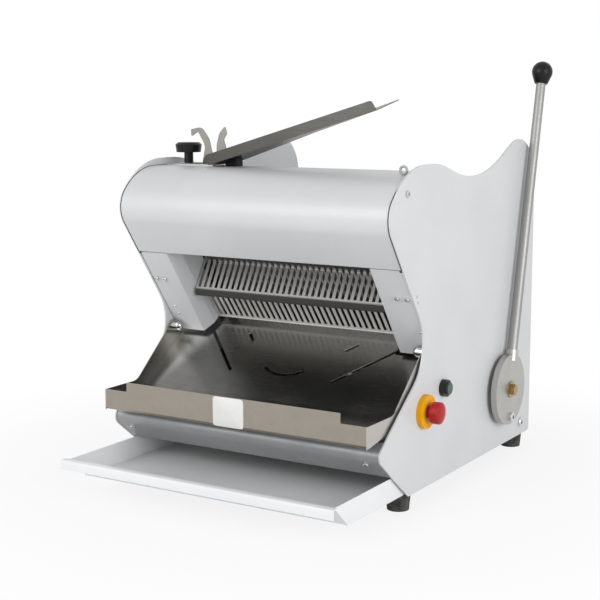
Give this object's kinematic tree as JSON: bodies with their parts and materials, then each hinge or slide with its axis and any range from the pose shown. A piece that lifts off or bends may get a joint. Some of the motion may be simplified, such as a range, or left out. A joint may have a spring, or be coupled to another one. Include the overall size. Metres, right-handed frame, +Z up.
{
  "type": "bench-top bread slicer",
  "caption": "Bench-top bread slicer with a hand lever, leaning reciprocating blades, outlet chute, pull-out crumb tray and a bagging scoop on its rounded cover.",
  "frame": {"origin": "middle of the overall box's lower face, on the bench under the machine, with the tray pulled out", "axes": "+X to the machine's right (the lever's side), +Y to its back, +Z up"},
  "size_m": [0.618, 0.8363, 0.8051],
  "materials": {
    "white_paint": "satin",
    "plate_grey": "satin",
    "stainless": "brushed",
    "dark_steel": "satin",
    "blade_steel": "polished",
    "bright_steel": "satin",
    "aluminium": "satin",
    "bronze": "machined",
    "black_rubber": "matte",
    "black_plastic": "satin",
    "guide_plastic": "matte",
    "grey_plastic": "satin",
    "motor_paint": "gloss",
    "green_plastic": "gloss",
    "red_plastic": "gloss",
    "yellow_plastic": "satin"
  },
  "bodies": {
    "machine": {"side_panel_left": "white_paint", "side_panel_right": "white_paint", "top_cover": "white_paint", "front_cheek_left": "white_paint", "front_cheek_right": "white_paint", "base_front_plate": "plate_grey", "rear_panel": "white_paint", "base_rail_left": "dark_steel", "base_rail_right": "dark_steel", "motor_deck": "dark_steel", "foot_front_left": "black_rubber", "foot_front_right": "black_rubber", "foot_rear_left": "black_rubber", "foot_rear_right": "black_rubber", "blade_guide_left": "guide_plastic", "blade_guide_right": "guide_plastic", "crank_bearing_left": "dark_steel", "crank_bearing_right": "dark_steel", "motor": "motor_paint", "drive_belt": "black_rubber", "electrical_box": "grey_plastic", "cable_gland": "black_plastic", "infeed_bed": "stainless", "infeed_beam": "dark_steel", "infeed_back_plate": "stainless", "shaft_bush_left": "bronze", "shaft_bush_right": "bronze", "chute_pivot_left": "bright_steel", "chute_pivot_right": "bright_steel", "start_switch_body": "black_plastic", "stop_switch_body": "yellow_plastic", "scoop_bracket": "stainless"},
    "front_blade_set": {"blade_frame_a": "dark_steel", "blades_a": "blade_steel", "drive_yokes_a": "dark_steel"},
    "rear_blade_set": {"blade_frame_b": "dark_steel", "blades_b": "blade_steel", "drive_yokes_b": "dark_steel"},
    "crank": {"crankshaft": "bright_steel", "crank_eccentrics": "dark_steel", "crank_pulley": "aluminium"},
    "motor_rotor": {"motor_shaft": "bright_steel", "motor_pulley": "aluminium"},
    "pusher": {"lever_shaft": "bright_steel", "lever_disc": "aluminium", "lever_bolt": "bronze", "lever_rod": "bright_steel", "lever_ball": "black_plastic", "pusher_arm_left": "aluminium", "pusher_arm_right": "aluminium", "pusher_comb": "aluminium"},
    "comb": {"retaining_comb": "stainless", "comb_rod": "bright_steel"},
    "chute": {"outlet_chute": "stainless"},
    "tray": {"crumb_tray": "white_paint"},
    "start": {"start_button": "green_plastic"},
    "stop": {"stop_button": "red_plastic"},
    "scoop": {"bagging_scoop": "stainless", "scoop_pad": "black_rubber"},
    "knob": {"clamp_knob": "black_plastic"}
  },
  "joints": [
    {"name": "front_blades_slide", "type": "slide", "parent": "machine", "child": "front_blade_set", "axis": [0, -0.5807, 0.8141], "range_m": [-0.01, 0.01]},
    {"name": "rear_blades_slide", "type": "slide", "parent": "machine", "child": "rear_blade_set", "axis": [0, -0.5807, 0.8141], "range_m": [-0.01, 0.01]},
    {"name": "crank_spin", "type": "hinge", "parent": "machine", "child": "crank", "pos_m": [-0.019, 0.11766, 0.17672], "axis": [1, 0, 0], "continuous": true},
    {"name": "motor_spin", "type": "hinge", "parent": "machine", "child": "motor_rotor", "pos_m": [-0.019, 0.33349, 0.165], "axis": [1, 0, 0], "continuous": true},
    {"name": "lever_swing", "type": "hinge", "parent": "machine", "child": "pusher", "pos_m": [-0.019, 0.25349, 0.15], "axis": [1, 0, 0], "range_deg": [0, 33]},
    {"name": "comb_swing", "type": "hinge", "parent": "machine", "child": "comb", "pos_m": [-0.019, -0.09187, 0.4412], "axis": [1, 0, 0], "range_deg": [-65, 0]},
    {"name": "chute_lift", "type": "hinge", "parent": "machine", "child": "chute", "pos_m": [-0.019, -0.08151, 0.279], "axis": [1, 0, 0], "range_deg": [-35, 0]},
    {"name": "tray_slide", "type": "slide", "parent": "machine", "child": "tray", "axis": [0, 1, 0], "range_m": [-0.12, 0.194]},
    {"name": "start_press", "type": "slide", "parent": "machine", "child": "start", "axis": [-1, 0, 0], "range_m": [0, 0.004], "stiffness_N_per_m": 800},
    {"name": "stop_press", "type": "slide", "parent": "machine", "child": "stop", "axis": [-1, 0, 0], "range_m": [0, 0.004], "stiffness_N_per_m": 1500},
    {"name": "scoop_swivel", "type": "hinge", "parent": "machine", "child": "scoop", "pos_m": [-0.259, -0.07851, 0.62], "axis": [0, 0, 1], "range_deg": [-90, 45]},
    {"name": "knob_turn", "type": "hinge", "parent": "machine", "child": "knob", "pos_m": [-0.259, -0.07851, 0.63], "axis": [0, 0, 1], "continuous": true}
  ],
  "couplings": [
    {"joint": "rear_blades_slide", "follows": "front_blades_slide", "ratio": -1},
    {"joint": "motor_spin", "follows": "crank_spin", "ratio": 2}
  ]
}
